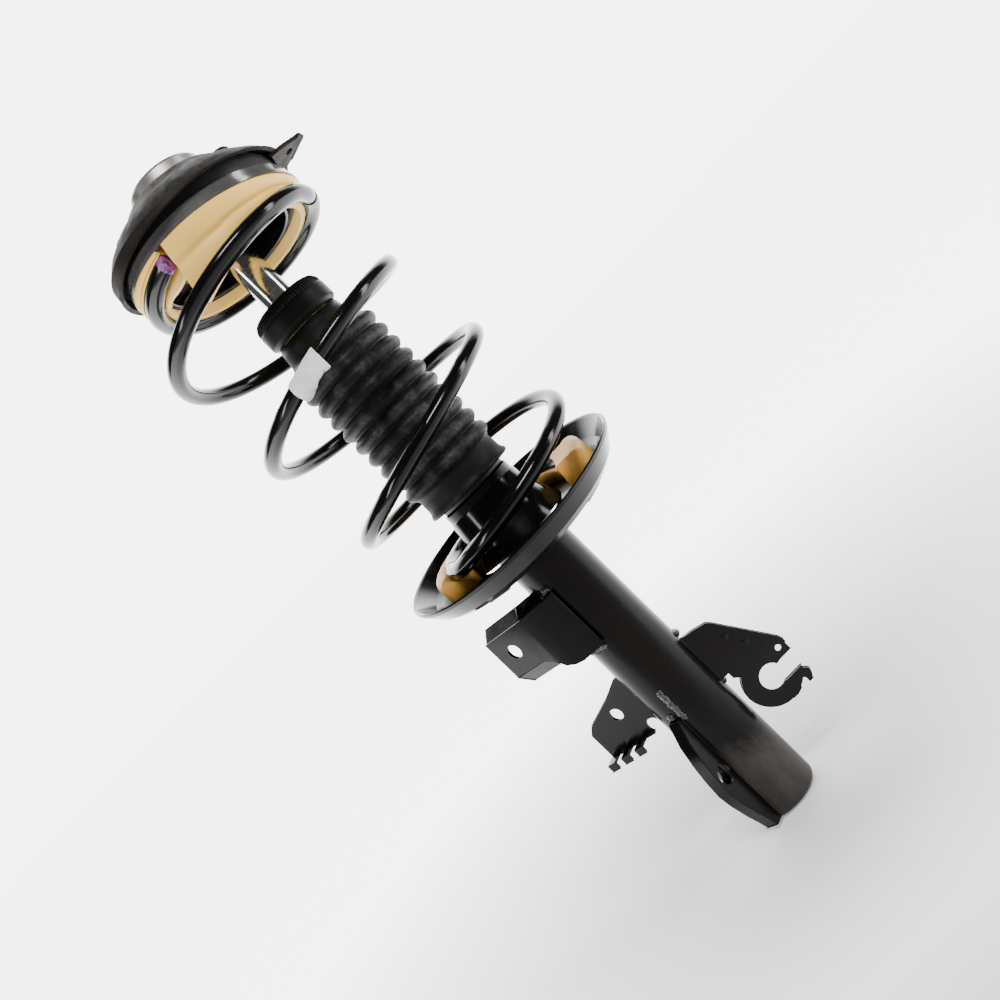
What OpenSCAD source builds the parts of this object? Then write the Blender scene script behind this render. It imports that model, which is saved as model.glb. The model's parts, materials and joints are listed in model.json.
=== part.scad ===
// Front suspension strut: coil spring over a twin-tube damper with a bearing top mount.
// Origin at the centre of the tube's closed lower end, +Z along the rod towards the top mount.

/* [Damper] */
// Outer diameter of the damper tube
tube_d = 50; // [46:0.5:52]
// Wall thickness of the damper tube
tube_wall = 2.5; // [2:0.5:3]
// Height of the top edge of the damper tube
tube_h = 298; // [296:1:300]
// Diameter of the piston rod
rod_d = 22; // [18:0.5:23]
// Bore diameter of the inner pressure cylinder
cylinder_bore_d = 32; // [30:0.5:34]
// Height of the piston with the strut fully extended
piston_z = 202; // [190:1:215]

/* [Boot] */
// Number of bellows on the dust boot
bellows = 10; // [8:1:12]
// Outer diameter over the bellows
bellows_d = 74; // [70:1:78]
// Height of the boot's open lower rim
boot_z = 306; // [305:0.5:308]
// Height of the underside of the boot's top cap
boot_cap_z = 456; // [455:0.5:458]

/* [Spring] */
// Wire diameter of the coil spring
wire_d = 11.6; // [10:0.2:12]
// Number of turns of the coil spring
spring_turns = 4.65; // [4.4:0.01:4.8]
// Radius of the coil centre line over the active turns
active_r = 75.5; // [72:0.5:77]
// Radius of the coil centre line in the lower seat
lower_end_r = 52; // [50:0.5:54]
// Radius of the coil centre line at the upper seat
upper_end_r = 61; // [59:0.5:62]

/* [Lower seat] */
// Diameter of the lower spring seat over its rim
seat_d = 182; // [176:1:186]
// Height of the lower seat's rim on its own axis
seat_z = 276; // [274:0.5:278]

/* [Top mount] */
// Height of the point where the bearing axis crosses the rod axis
pivot_z = 560; // [558:0.5:562]
// Lean of the bearing axis towards the back, in degrees
lean_back = 8.5; // [6:0.5:10]
// Lean of the bearing axis towards the right, in degrees
lean_right = 5.2; // [3:0.2:6]
// Diameter of the mount plate over its skirt
plate_d = 144; // [140:1:148]
// Diameter of the bolt circle on the mount plate
bolt_circle_d = 92; // [88:1:96]
// Number of balls in the top bearing
balls = 28; // [20:1:32]

/* [Brackets] */
// Sheet thickness of the welded brackets
sheet = 3; // [2.5:0.1:3.5]
// Diameter of the hole for the stabiliser link
link_hole_d = 12.2; // [10.5:0.1:13]
// Diameter of the hole in the sensor bracket
sensor_hole_d = 11; // [8.5:0.1:12]
// Diameter of the hole in the hose bracket
hose_hole_d = 5.4; // [5:0.1:6.5]

/* [Hidden] */
$fn = 96;

tube_r = tube_d / 2;
tube_in_r = tube_r - tube_wall;
rod_r = rod_d / 2;
cyl_r = cylinder_bore_d / 2;
wire_r = wire_d / 2;
fit = 0.05;
gap = 0.3;
base_h = 8;
guide_z = tube_h - 22;
cap_top_z = tube_h + 5;
stud_r = 7;
shoulder_z = pivot_z - 12;
stud_top_z = pivot_z + 24;
seat_x = 3.7;
seat_tilt = [8, -1.2, 0];
seat_r = seat_d / 2;
spring_rings = 30;
wire_sides = 12;
lower_centre = [5, 0];
upper_centre = [-30 * sin(lean_right), -30 * sin(lean_back)];
end_pitch = 15;
lower_coil_z = 269;
upper_coil_z = 523;
lower_slope = [0.02, 0.14];
upper_slope = [-0.03, -0.17];
mount_up = cos(lean_back) * cos(lean_right);
seat_slope = [-sin(lean_right) * cos(lean_back) / mount_up, -sin(lean_back) / mount_up];
floor_k = -15.2;
end_angle = 10;
ring_r = 50;
ball_r = 3;
ball_k = -12;
fin_angle = 226;

// ---------------------------------------------------------------- shared shapes

// A ring, or a tube, standing on the height z
module ring(outer_r, inner_r, z, h) {
    translate([0, 0, z]) difference() {
        cylinder(r = outer_r, h = h);
        translate([0, 0, -1]) cylinder(r = inner_r, h = h + 2);
    }
}

// A body turned about Z from an outline of [radius, height] points
module turned(points) {
    rotate_extrude() polygon(points);
}

// Places its children on the leaning axis of the top mount
module on_mount_axis() {
    translate([0, 0, pivot_z]) rotate([-lean_back, lean_right, 0]) children();
}

// Places its children on the tilted axis of the lower spring seat
module on_seat_axis() {
    translate([seat_x, 0, seat_z]) rotate(seat_tilt) children();
}

// ---------------------------------------------------------------- coil path

function ease(u) = let (v = min(1, max(0, u))) v * v * (3 - 2 * v);
function blend(a, b, u) = a + (b - a) * u;

// Rise shape: nearly flat end turns with a constant pitch between them
lower_flat = 0.55;
upper_flat = spring_turns - 0.75;
function ramp_up(n) = max(0, n - lower_flat) - max(0, n - upper_flat);
function coil_rise(n) = end_pitch * n
    + (upper_coil_z - lower_coil_z - end_pitch * spring_turns) * ramp_up(n) / ramp_up(spring_turns);
function coil_angle(n) = end_angle + 360 * n;
function coil_r(n) = blend(
    blend(lower_end_r, active_r, ease((n - 0.4) / 0.6)),
    upper_end_r,
    ease((n - spring_turns + 1.25) / 1.1));

// The coils bow out to the left, and droop on that side
function coil_bow(n) = 8 * ease((n - 1.2) / 1.9) * (1 - ease((n - 3.5) / 1.1));
function coil_droop(n) = 14 * ease((n - 0.7) / 0.7) * (1 - ease((n - 1.3) / 3.3));
function coil_centre(n) = blend(lower_centre, upper_centre, ease(n / spring_turns * 1.1)) - [coil_bow(n), 0];
function coil_slope(n) = blend(lower_slope, upper_slope, n / spring_turns);

// Point at the offset [outward, up] from the wire's centre
function coil_point(n, outward, up) = let (
    a = coil_angle(n),
    r = coil_r(n) + outward,
    c = coil_centre(n),
    m = coil_slope(n)
) [
    c[0] + r * cos(a),
    c[1] + r * sin(a),
    lower_coil_z + coil_rise(n) + up + r * (m[0] * cos(a) + m[1] * sin(a)) - coil_droop(n) * (1 - cos(a)) / 2
];

// Point at the radius r from the coil's axis and the offset up from the wire's centre
function coil_point_at(n, r, up) = coil_point(n, r - coil_r(n), up);

// Closed solid through rings of points that all have the same number of corners
module swept(rings) {
    corners = len(rings[0]);
    last = len(rings) - 1;
    polyhedron(
        points = [for (ring = rings) each ring],
        faces = concat(
            [[for (i = [0 : corners - 1]) i]],
            [for (j = [0 : last - 1], i = [0 : corners - 1])
                let (k = (i + 1) % corners)
                [j * corners + i, (j + 1) * corners + i, (j + 1) * corners + k, j * corners + k]],
            [[for (i = [corners - 1 : -1 : 0]) last * corners + i]]
        ),
        convexity = 8
    );
}

// Round wire between two turn counts
module wire(from, to, radius, rings, sides) {
    swept([for (j = [0 : rings])
        let (n = blend(from, to, j / rings))
        [for (i = [0 : sides - 1])
            coil_point(n, radius * cos(360 * i / sides), radius * sin(360 * i / sides))]]);
}

// ---------------------------------------------------------------- damper

module damper_tube() {
    color("#22211f") ring(tube_r, tube_in_r, base_h, tube_h - base_h);
}

module tube_base() {
    corner = 6;
    color("#4a4744") difference() {
        union() {
            translate([0, 0, corner]) cylinder(r = tube_r, h = base_h - corner);
            rotate_extrude() intersection() {
                union() {
                    square([tube_r - corner, corner]);
                    translate([tube_r - corner, corner]) circle(r = corner);
                }
                square([tube_r, corner]);
            }
        }
        translate([0, 0, 3]) cylinder(r = tube_in_r - 2, h = base_h);
    }
}

module pressure_cylinder() {
    color("#8d8d8a") ring(cyl_r + 1.5, cyl_r, base_h + 4, guide_z + 6 - base_h - 4);
}

module base_valve() {
    color("#7c7c78") difference() {
        union() {
            translate([0, 0, base_h]) cylinder(r = cyl_r + 1.5, h = 4);
            translate([0, 0, base_h + 4]) cylinder(r = cyl_r - fit, h = 8);
        }
        for (i = [0 : 5]) rotate([0, 0, 60 * i]) translate([9, 0, base_h - 1]) cylinder(r = 1.5, h = 20);
    }
}

module rod_guide() {
    color("#9a9a94") turned([
        [rod_r + fit, guide_z], [cyl_r - fit, guide_z], [cyl_r - fit, guide_z + 6],
        [tube_in_r - fit, guide_z + 6], [tube_in_r - fit, guide_z + 14], [rod_r + fit, guide_z + 14]
    ]);
}

module rod_seal() {
    z = guide_z + 14;
    color("#1a1a1a") turned([
        [rod_r + 0.08, z], [tube_in_r - fit, z], [tube_in_r - fit, z + 4],
        [rod_r + 3, z + 4], [rod_r + 0.08, z + 2]
    ]);
}

module tube_end_cap() {
    color("#2b2a28") turned([
        [rod_r + 0.1, tube_h], [rod_r + 0.1, cap_top_z - 0.5], [rod_r + 4, cap_top_z],
        [26.5, cap_top_z], [27.7, cap_top_z - 1.2], [27.7, tube_h - 1.5],
        [tube_r + fit, tube_h - 1.5], [tube_r + fit, tube_h]
    ]);
}

// ---------------------------------------------------------------- lower seat

module lower_spring_seat() {
    collar_top = tube_h - 2;
    color("#1c1b1a") difference() {
        union() {
            on_seat_axis() {
                turned([
                    [seat_r, 0], [seat_r - 1, 0.8], [seat_r - 2.6, 0], [80, -11.5], [75.5, floor_k],
                    [30, floor_k], [30, floor_k - 2.4], [76.4, floor_k - 2.4], [82.4, -13.2],
                    [seat_r - 0.4, -2.2]
                ]);
                for (a = [-125, -48]) rotate([0, 0, a]) translate([58, -9, floor_k - 5]) cube([13, 18, 3]);
            }
            rotate_extrude() polygon([
                [24, 256], [40, 259], [34.5, 272], [31, 280], [28.4, collar_top], [24, collar_top]
            ]);
        }
        translate([0, 0, 200]) cylinder(r = tube_r + fit, h = 120);
        rotate_extrude() polygon([
            [tube_r + 0.5, 250], [37, 250], [37, 258.5], [31.8, 271.5], [28.4, 280], [26, 290],
            [tube_r + 0.5, 290]
        ]);
        for (a = [35, 215]) on_seat_axis() rotate([0, 0, a]) translate([70, 0, -30]) cylinder(r = 4, h = 30);
    }
}

// Point on the floor of the lower seat at one turn count
function floor_point(n, r) = let (
    a = coil_angle(n),
    x = lower_centre[0] + r * cos(a),
    y = lower_centre[1] + r * sin(a)
) [x, y, seat_z + floor_k + 0.3 + lower_slope[0] * (x - seat_x) + lower_slope[1] * y];

// Cross-section of the lower insulator at one turn count, with or without the wire's groove
function lower_section(n, grooved) = let (
    g = wire_r + gap,
    deep = grooved ? 1 : 0
) [
    floor_point(n, coil_r(n) - 9), floor_point(n, 70), coil_point_at(n, 70, 0),
    coil_point_at(n, 68, 3), coil_point(n, g + 3, 4.5), coil_point(n, g, 2 + 2 * deep),
    coil_point(n, g * 0.96, 4 - 4 * deep), coil_point(n, g * 0.75, 4 - deep * (4 + g * 0.72)),
    coil_point(n, 0, 4 - deep * (4 + g * 1.04)), coil_point(n, -g * 0.75, 4 - deep * (4 + g * 0.72)),
    coil_point(n, -g, 3 - 3 * deep), coil_point(n, -9, 0)
];

module lower_insulator() {
    block = 0.09;
    wrap = 0.53;
    stop = 0.006;
    color("#dca95e") swept(concat(
        [for (j = [0 : 4]) lower_section(-stop - block * (1 - j / 4), false)],
        [for (j = [0 : 28]) lower_section(wrap * j / 28 - stop + 0.001, true)]
    ));
}

module coil_spring() {
    rings = round(spring_rings * spring_turns);
    color("#171717") wire(0, spring_turns, wire_r, rings, wire_sides);
}

// Paper sleeve round the wire, bent to the coil's radius
label_n = 2.697;
label_span = 19;

module spring_label() {
    run = coil_point(label_n + 0.02, 0, 0) - coil_point(label_n - 0.02, 0, 0);
    climb = atan2(run[2], norm([run[0], run[1]]));
    bend = coil_r(label_n);
    skin = wire_r + 0.5;
    paper = skin + 0.6;
    color("white") translate(coil_point(label_n, 0, 0)) rotate([0, 0, atan2(run[1], run[0]) - 90])
        rotate([climb, 0, 0]) translate([-bend, 0, 0]) rotate([0, 0, -label_span / 2])
        rotate_extrude(angle = label_span) translate([bend, 0]) difference() {
            circle(r = paper);
            circle(r = skin);
        }
}

// ---------------------------------------------------------------- brackets on the tube

// Direction at one corner of a bent strip, and how far its mitre reaches
function unit(v) = v / norm(v);
function strip_normal(path, i) = let (
    before = unit(path[max(1, i)] - path[max(1, i) - 1]),
    last = len(path) - 1,
    after = unit(path[min(last, i + 1)] - path[min(last, i + 1) - 1]),
    mean = unit(before + after)
) [-mean[1], mean[0]] / (mean * before);

// Plan of a sheet that follows a path, with mitred bends
module strip(path, thick) {
    polygon(concat(
        [for (i = [0 : len(path) - 1]) path[i] + strip_normal(path, i) * thick / 2],
        [for (i = [len(path) - 1 : -1 : 0]) path[i] - strip_normal(path, i) * thick / 2]
    ));
}

// Flared edge along a panel, leaning away from it
module flare(from, to, z, width, lean) {
    run = to - from;
    translate([from[0], from[1], z])
        rotate([0, 0, atan2(run[1], run[0])])
        rotate([lean, 0, 0])
        translate([0.4, -width, -sheet / 2 - 0.2]) cube([norm(run) - 0.8, width, sheet - 0.4]);
}

link_path = [[-13, -23], [-22, -22.5], [-42, -14], [-71.5, 14.5]];
link_bend = link_path[2];
link_tip = link_path[3];
link_z = 205.8;
link_top = 221;
link_low = 173;

// Front outline of the link bracket, with a stepped lower edge
module link_outline() {
    polygon([
        [-80, 189], [-50, 189], [-45, 185], [-41, 178], [-36, 174.5], [-30, link_low], [-10, link_low],
        [-10, link_top], [-80, link_top]
    ]);
}

module link_bracket() {
    color("#25231f") difference() {
        union() {
            intersection() {
                translate([0, 0, 160]) linear_extrude(70) strip(link_path, sheet);
                translate([0, 50, 0]) rotate([90, 0, 0]) linear_extrude(100) link_outline();
            }
            flare(link_path[1], link_bend, link_top - 0.9, 12, -38);
            flare(link_bend, link_tip, link_top - 0.9, 12, -38);
            flare(link_bend + (link_tip - link_bend) * 0.1, link_tip, 190.2, 15, 50);
        }
        cylinder(r = tube_r + 0.03, h = tube_h);
        link_hole_cut();
    }
}

// Middle of the link hole, on the outer panel
link_hole = link_bend + (link_tip - link_bend) * 0.58;
link_turn = atan2(link_tip[1] - link_bend[1], link_tip[0] - link_bend[0]);

module link_hole_cut() {
    translate([link_hole[0], link_hole[1], link_z])
        rotate([90, 0, link_turn]) translate([0, 0, -6]) cylinder(r = link_hole_d / 2, h = 12);
}

sensor_root = [-22, 10];
sensor_tip = [-62, 40];
sensor_z = 118.5;
sensor_run = sensor_tip - sensor_root;
sensor_turn = atan2(sensor_run[1], sensor_run[0]);
sensor_hole = sensor_root + sensor_run * 0.535;

module sensor_bracket() {
    long = norm(sensor_run) + 8;
    color("#2d2926") difference() {
        union() {
            translate([sensor_root[0], sensor_root[1], 0]) rotate([90, 0, sensor_turn])
                translate([0, 0, -sheet / 2]) linear_extrude(sheet) difference() {
                    polygon([[-4, 100], [-4, 142], [7, 141], [24, 132], [long - 6, 121], [long, 115],
                        [long, 92], [14, 92], [6, 100]]);
                    translate([9, 97.5]) circle(r = 6.2);
                }
            // three hooks that grip the sensor lead
            translate([sensor_root[0], sensor_root[1], 92]) rotate([0, 0, sensor_turn])
                for (x = [22, 36, 50]) translate([x, 0, 0]) {
                    cube([8, 13, 2]);
                    translate([0, 11, -4]) cube([8, 2, 6]);
                }
        }
        cylinder(r = tube_r + 0.03, h = tube_h);
        translate([sensor_hole[0], sensor_hole[1], sensor_z])
            rotate([90, 0, sensor_turn]) translate([0, 0, -6]) cylinder(r = sensor_hole_d / 2, h = 12);
    }
}

hose_y = -6;
hose_slot = [50, 69.5];
hose_slot_r = 9.6;
hose_hole = [66.5, 80.5];

module hose_bracket() {
    color("#2b2823") difference() {
        union() {
            translate([0, hose_y + sheet / 2, 0]) rotate([90, 0, 0]) linear_extrude(sheet) difference() {
                union() {
                    polygon([[18, 93], [18, 134], [33, 131], [44, 128], [47, 124.5], [72, 86], [73.5, 82],
                        [72.5, 74], [61, 74], [50, 70], [31, 88], [31, 93]]);
                    translate(hose_slot) circle(r = 21.5);
                    polygon([[50, 48], [50, 60], [56, 59.6], [69.5, 58], [72, 55], [71, 51.5], [69, 48.4],
                        [66, 48.4], [66, 52.4], [63, 54.5], [60.5, 52.8], [59, 49.4], [54, 48]]);
                }
                translate(hose_slot) circle(r = hose_slot_r);
                translate([hose_slot[0] + 4.5, hose_slot[1] - 9.2]) square([30, 13.4]);
                translate([60.5, 62]) square([20, 12]);
                translate([60.5, 40]) square([20, 8.4]);
                translate([72.4, 40]) square([20, 40]);
            }
            // rolled lower edge
            translate([0, hose_y, 0]) intersection() {
                translate([hose_slot[0], 0, hose_slot[1]]) rotate([-90, 0, 0])
                    ring(21.5, 18.8, 0, 11);
                translate([34, 0, 40]) cube([16, 11, 16]);
            }
            // two pressed dimples
            for (p = [[46, 112], [53.5, 99.5]])
                translate([p[0], hose_y - sheet / 2 - 0.8, p[1]]) rotate([-90, 0, 0])
                    cylinder(r1 = 1.6, r2 = 2.8, h = 1.2);
        }
        cylinder(r = tube_r + 0.03, h = tube_h);
        translate([hose_hole[0], hose_y, hose_hole[1]]) rotate([90, 0, 0])
            translate([0, 0, -6]) cylinder(r = hose_hole_d / 2, h = 12);
    }
}

fin_w = 10;
fin_top = 100;
fin_hole = [33, 53];

// Side outline of the fin, drawn in by an inset along its outer edge
module fin_outline(inset) {
    polygon([
        [20, 3], [32 - inset, 3], [34 - inset, 10], [37.5 - inset, 20], [41.4 - inset, 34],
        [43 - inset, 45], [41.8 - inset, 58], [39.4 - inset, 71], [35.6 - inset, 85],
        [28 - inset, fin_top], [20, fin_top]
    ]);
}

module fin_cavity() {
    fin_outline(2.8);
    translate([20, 0]) square([8, 10]);
    translate([20, fin_top - 10]) square([6, 14]);
}

module locating_fin() {
    color("#57534c") rotate([0, 0, fin_angle]) difference() {
        translate([0, fin_w / 2, 0]) rotate([90, 0, 0]) linear_extrude(fin_w) fin_outline(0);
        translate([0, fin_w / 2 - 2.6, -1]) rotate([90, 0, 0]) linear_extrude(fin_w - 5.2)
            fin_cavity();
        translate([0, 0, -1]) cylinder(r = tube_r + 0.03, h = fin_top + 2);
        translate([fin_hole[0], 10, fin_hole[1]]) rotate([90, 0, 0]) cylinder(r = 7.5, h = 20);
    }
}

// Weld bead that follows the tube between two angles at one height
module bead_around(z, from, to, r) {
    rotate([0, 0, from]) rotate_extrude(angle = to - from) difference() {
        translate([tube_r + 0.4, z]) circle(r = r);
        translate([0, z - 5]) square([tube_r + 0.03, 10]);
    }
}

// Upright weld bead at one angle between two heights
module bead_up(a, z0, z1, r) {
    rotate([0, 0, a]) difference() {
        translate([tube_r + 0.4, 0, z0]) cylinder(r = r, h = z1 - z0);
        translate([0, 0, z0 - 1]) cylinder(r = tube_r + 0.03, h = z1 - z0 + 2);
    }
}

module weld_beads() {
    color("#3b3833") {
        bead_around(170.6, 205, 238, 2.2);
        bead_around(223.6, 228, 238, 2);
        bead_up(244, 98, 124, 2.1);
        bead_around(144.4, 140, 162, 2.2);
        bead_around(136.6, -14, 12, 2.4);
        bead_around(90.6, -14, 8, 2.2);
        bead_around(103, 221, 231, 2.2);
    }
}

// ---------------------------------------------------------------- boot

boot_ridge_r = bellows_d / 2;
boot_valley_r = boot_ridge_r - 5.5;
boot_wall = 1.5;
bellows_z0 = 323;
bellows_z1 = 437;
bellow_pitch = (bellows_z1 - bellows_z0) / bellows;

// Outer outline of the boot from the rim to the neck
boot_outline = concat(
    [[34.3, boot_z], [34.3, boot_z + 2], [32.3, boot_z + 4.5], [32.3, bellows_z0 - 2]],
    [for (i = [0 : bellows - 1]) let (z = bellows_z0 + i * bellow_pitch) each [
        [boot_valley_r, z],
        [boot_ridge_r, z + bellow_pitch * 0.42],
        [boot_ridge_r, z + bellow_pitch * 0.58]
    ]],
    [[boot_valley_r, bellows_z1], [27.5, bellows_z1 + 3], [25.2, boot_cap_z - 1]]
);

module dust_boot() {
    last = len(boot_outline) - 1;
    color("#3a3b3d") turned(concat(
        boot_outline,
        [for (i = [last : -1 : 0]) [boot_outline[i][0] - boot_wall, boot_outline[i][1]]]
    ));
}

module boot_cap() {
    z = boot_cap_z;
    color("#35363a") turned([
        [rod_r + 0.1, z], [25.4, z], [28, z + 2.2], [28, z + 17], [25, z + 21], [21, z + 23],
        [rod_r + 3, z + 23], [rod_r + 0.1, z + 21]
    ]);
}

module bump_stop() {
    z = boot_cap_z;
    color("#c9b36a") turned([
        [rod_r + 0.3, z], [rod_r + 0.3, z - 66], [rod_r + 3, z - 70], [17, z - 66], [19, z - 58],
        [16.5, z - 50], [20.5, z - 40], [17.5, z - 30], [21.5, z - 20], [19, z - 12], [22, z - 8], [22, z]
    ]);
}

// ---------------------------------------------------------------- rod and piston

module piston_rod() {
    color("#d8d8d8") {
        translate([0, 0, piston_z + 14]) cylinder(r = rod_r, h = shoulder_z - piston_z - 14);
        translate([0, 0, piston_z - 8]) cylinder(r = stud_r, h = 22.5);
        translate([0, 0, shoulder_z - 0.5]) cylinder(r = stud_r, h = stud_top_z - shoulder_z - 1);
        translate([0, 0, stud_top_z - 1.5]) cylinder(r1 = stud_r, r2 = stud_r - 1.5, h = 1.5);
    }
}

module piston() {
    r = cyl_r - 0.6;
    color("#85837d") difference() {
        turned([
            [stud_r + 0.01, piston_z], [r, piston_z], [r, piston_z + 4], [r - 1.5, piston_z + 4],
            [r - 1.5, piston_z + 10], [r, piston_z + 10], [r, piston_z + 14], [stud_r + 0.01, piston_z + 14]
        ]);
        for (i = [0 : 5]) rotate([0, 0, 60 * i]) translate([10.6, 0, piston_z - 1]) cylinder(r = 1.6, h = 16);
    }
}

module piston_ring() {
    color("#2a5a50") ring(cyl_r - fit, cyl_r - 2.05, piston_z + 4.1, 5.8);
}

module hex_nut(across_flats, bore_r, z, h) {
    translate([0, 0, z]) difference() {
        cylinder(r = across_flats / 2 / cos(30), h = h, $fn = 6);
        translate([0, 0, -1]) cylinder(r = bore_r, h = h + 2);
    }
}

module piston_nut() {
    color("#8f8f8c") hex_nut(21, stud_r + 0.01, piston_z - 7.5, 7.5);
}

module rebound_stop() {
    color("#6c6a66") turned([
        [rod_r + 0.01, guide_z - 10.5], [14, guide_z - 10.5], [14.6, guide_z - 9], [14.6, guide_z - 1.5],
        [14, guide_z - 0.3], [rod_r + 0.01, guide_z - 0.3]
    ]);
}

socket_r = 17;

module mount_inner_sleeve() {
    color("#a5a39c") difference() {
        intersection() {
            translate([0, 0, pivot_z]) sphere(r = socket_r);
            translate([0, 0, shoulder_z]) cylinder(r = 30, h = 24);
        }
        translate([0, 0, shoulder_z - 1]) cylinder(r = stud_r + 0.01, h = 26);
    }
}

module rod_washer() {
    color("#b9b7ae") ring(13.5, stud_r + 0.2, pivot_z + 12, 2.5);
}

module rod_nut() {
    color("#b9b7ae") hex_nut(21, stud_r + 0.01, pivot_z + 14.5, 8);
}

// ---------------------------------------------------------------- upper seat and bearing

pan_low = -30;
web_low = -22.2;
web_top = -20;

module upper_spring_seat() {
    color("#5b5a57") on_mount_axis() turned([
        [24, web_top], [63.4, web_top], [64.8, web_top - 1.4], [64.8, pan_low + 3.2], [66.6, pan_low + 2.4],
        [66.6, pan_low], [62.6, pan_low], [62.6, web_low], [48.6, web_low], [48.6, pan_low - 2],
        [46.6, pan_low - 2], [46.6, web_low], [26.2, web_low], [26.2, web_low - 8], [24, web_low - 8]
    ]);
}

// Point at the radius r and the height k of the upper seat's own frame, at one turn count
function pan_point(n, r, k) = let (
    a = coil_angle(n),
    x = upper_centre[0] + r * cos(a),
    y = upper_centre[1] + r * sin(a)
) [x, y, pivot_z + k / mount_up + seat_slope[0] * x + seat_slope[1] * y];

// Underside of the upper insulator at the radius r, just above the wire
function under_point(n, r) = let (
    g = wire_r + gap + 1,
    off = abs(r - coil_r(n))
) coil_point_at(n, r, off < g ? sqrt(g * g - off * off) : -1);

upper_wrap = 0.985;
under_radii = [51, 53.1, 55.2, 57.3, 59.4, 61.5, 63.6, 65.6];
function upper_section(n) = concat(
    [for (r = under_radii) under_point(n, r)],
    [
        pan_point(n, 65.6, pan_low - gap), pan_point(n, 60, pan_low - gap),
        pan_point(n, 60, web_low - gap), pan_point(n, 51, web_low - gap)
    ]
);

module upper_insulator() {
    steps = 48;
    color("#ecd08c") swept([for (j = [0 : steps])
        upper_section(spring_turns - upper_wrap * (1 - j / steps))]);
}

module bearing_lower_race() {
    color("#9fa09c") on_mount_axis() rotate_extrude() difference() {
        translate([42, web_top]) square([16, 6.4]);
        translate([ring_r, ball_k]) circle(r = ball_r + 0.1);
    }
}

module bearing_seal() {
    color("#161616") on_mount_axis() turned([
        [58.3, web_top], [60.8, web_top], [61.6, -9.4], [60.2, -9.4], [58.3, -16]
    ]);
}

module ball_cage() {
    color("#d9d6c7") on_mount_axis() difference() {
        ring(54, 46, ball_k - 0.9, 1.8);
        for (i = [0 : balls - 1]) rotate([0, 0, 360 * i / balls]) translate([ring_r, 0, ball_k - 3])
            cylinder(r = ball_r + 0.08, h = 6, $fn = 32);
    }
}

module bearing_balls() {
    color("#cfcfcf") on_mount_axis()
        for (i = [0 : balls - 1]) rotate([0, 0, 360 * i / balls]) translate([ring_r, 0, ball_k])
            sphere(r = ball_r, $fn = 32);
}

module bearing_upper_race() {
    color("#9fa09c") on_mount_axis() rotate_extrude() difference() {
        translate([42, -10.3]) square([15.5, 5.6]);
        translate([ring_r, ball_k]) circle(r = ball_r + 0.1);
    }
}

// ---------------------------------------------------------------- mount plate

plate_r = plate_d / 2;
neck_r = 38.5;
cup_r = 27.5;
boss_r = 7.5;

module tab_outline() {
    difference() {
        union() {
            polygon([[62, -17], [73, -12], [84, -5], [84, 5], [73, 12], [62, 17]]);
            translate([83, 0]) circle(r = 5);
        }
        circle(r = 60);
    }
}

// Places its children on the tab, which is bent up where it leaves the plate
module on_tab() {
    translate([62, 0, -12.2]) rotate([0, -10, 0]) translate([-62, 0, -1.3]) children();
}

// Repeats its children on the three bolts
module at_bolts() {
    for (i = [0 : 2]) rotate([0, 0, 120 * i - 35]) translate([bolt_circle_d / 2, 0, 0]) children();
}

module mount_plate() {
    color("#4a443c") on_mount_axis() difference() {
        union() {
            difference() {
                turned([
                    [plate_r, -25], [plate_r, -14.5], [plate_r - 1.5, -12.6], [66, -7], [57, 0.5], [47, 6.5],
                    [42, 11], [neck_r, 14], [cup_r + 0.1, 14], [cup_r + 0.1, 10.6], [neck_r - 1.4, 10.6],
                    [39.4, 8.2], [41.2, 2], [41.2, -4.6], [58.6, -4.6], [64.4, -9.2],
                    [plate_r - 3, -14.6], [plate_r - 3, -25]
                ]);
                // lower edge of the skirt, cut on a slant
                translate([0, 0, -17.4]) rotate([0, -5, 0]) translate([0, 0, -40]) cylinder(r = 120, h = 40);
            }
            on_tab() linear_extrude(2.6) tab_outline();
        }
        on_tab() translate([74, 0, -4]) cylinder(r = 2.6, h = 12);
        at_bolts() translate([0, 0, -20]) cylinder(r = boss_r + 0.02, h = 40);
    }
}

module bolt_bosses() {
    tall = 9;
    color("#bdb9af") on_mount_axis() at_bolts() translate([0, 0, -4]) difference() {
        union() {
            cylinder(r = boss_r, h = tall);
            translate([0, 0, tall]) cylinder(r1 = boss_r, r2 = boss_r - 1, h = 1);
        }
        translate([0, 0, -1]) cylinder(r = 4.2, h = tall + 3);
    }
}

module mount_rubber() {
    color("#202020") on_mount_axis() difference() {
        turned([
            [8, -9], [30, -9], [38, -3], [41, 1.5], [39, 7.8], [36.6, 10.3], [25, 10.3], [22, 11.5], [8, 11.5]
        ]);
        sphere(r = socket_r + 0.3);
        translate([0, 0, 9]) cylinder(r = 17, h = 5);
        at_bolts() translate([0, 0, -10]) cylinder(r = boss_r + gap, h = 30);
        translate([0, 0, -20]) cylinder(r1 = 15.5, r2 = 13, h = 12);
    }
}

module mount_cup() {
    color("#b4b1a8") on_mount_axis() turned([
        [cup_r, 10.6], [cup_r, 25], [cup_r - 1.2, 27], [cup_r - 3, 27.4], [cup_r - 6, 26.8],
        [cup_r - 6, 24.9], [cup_r - 2.6, 25], [cup_r - 2.2, 24], [cup_r - 2.2, 10.6]
    ]);
}

damper_tube();
tube_base();
pressure_cylinder();
base_valve();
rod_guide();
rod_seal();
tube_end_cap();
lower_spring_seat();
lower_insulator();
coil_spring();
spring_label();
link_bracket();
sensor_bracket();
hose_bracket();
locating_fin();
weld_beads();
dust_boot();
boot_cap();
bump_stop();
piston_rod();
piston();
piston_ring();
piston_nut();
rebound_stop();
mount_inner_sleeve();
rod_washer();
rod_nut();
upper_spring_seat();
upper_insulator();
bearing_lower_race();
bearing_seal();
ball_cage();
bearing_balls();
bearing_upper_race();
mount_plate();
mount_rubber();
mount_cup();
bolt_bosses();
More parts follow.
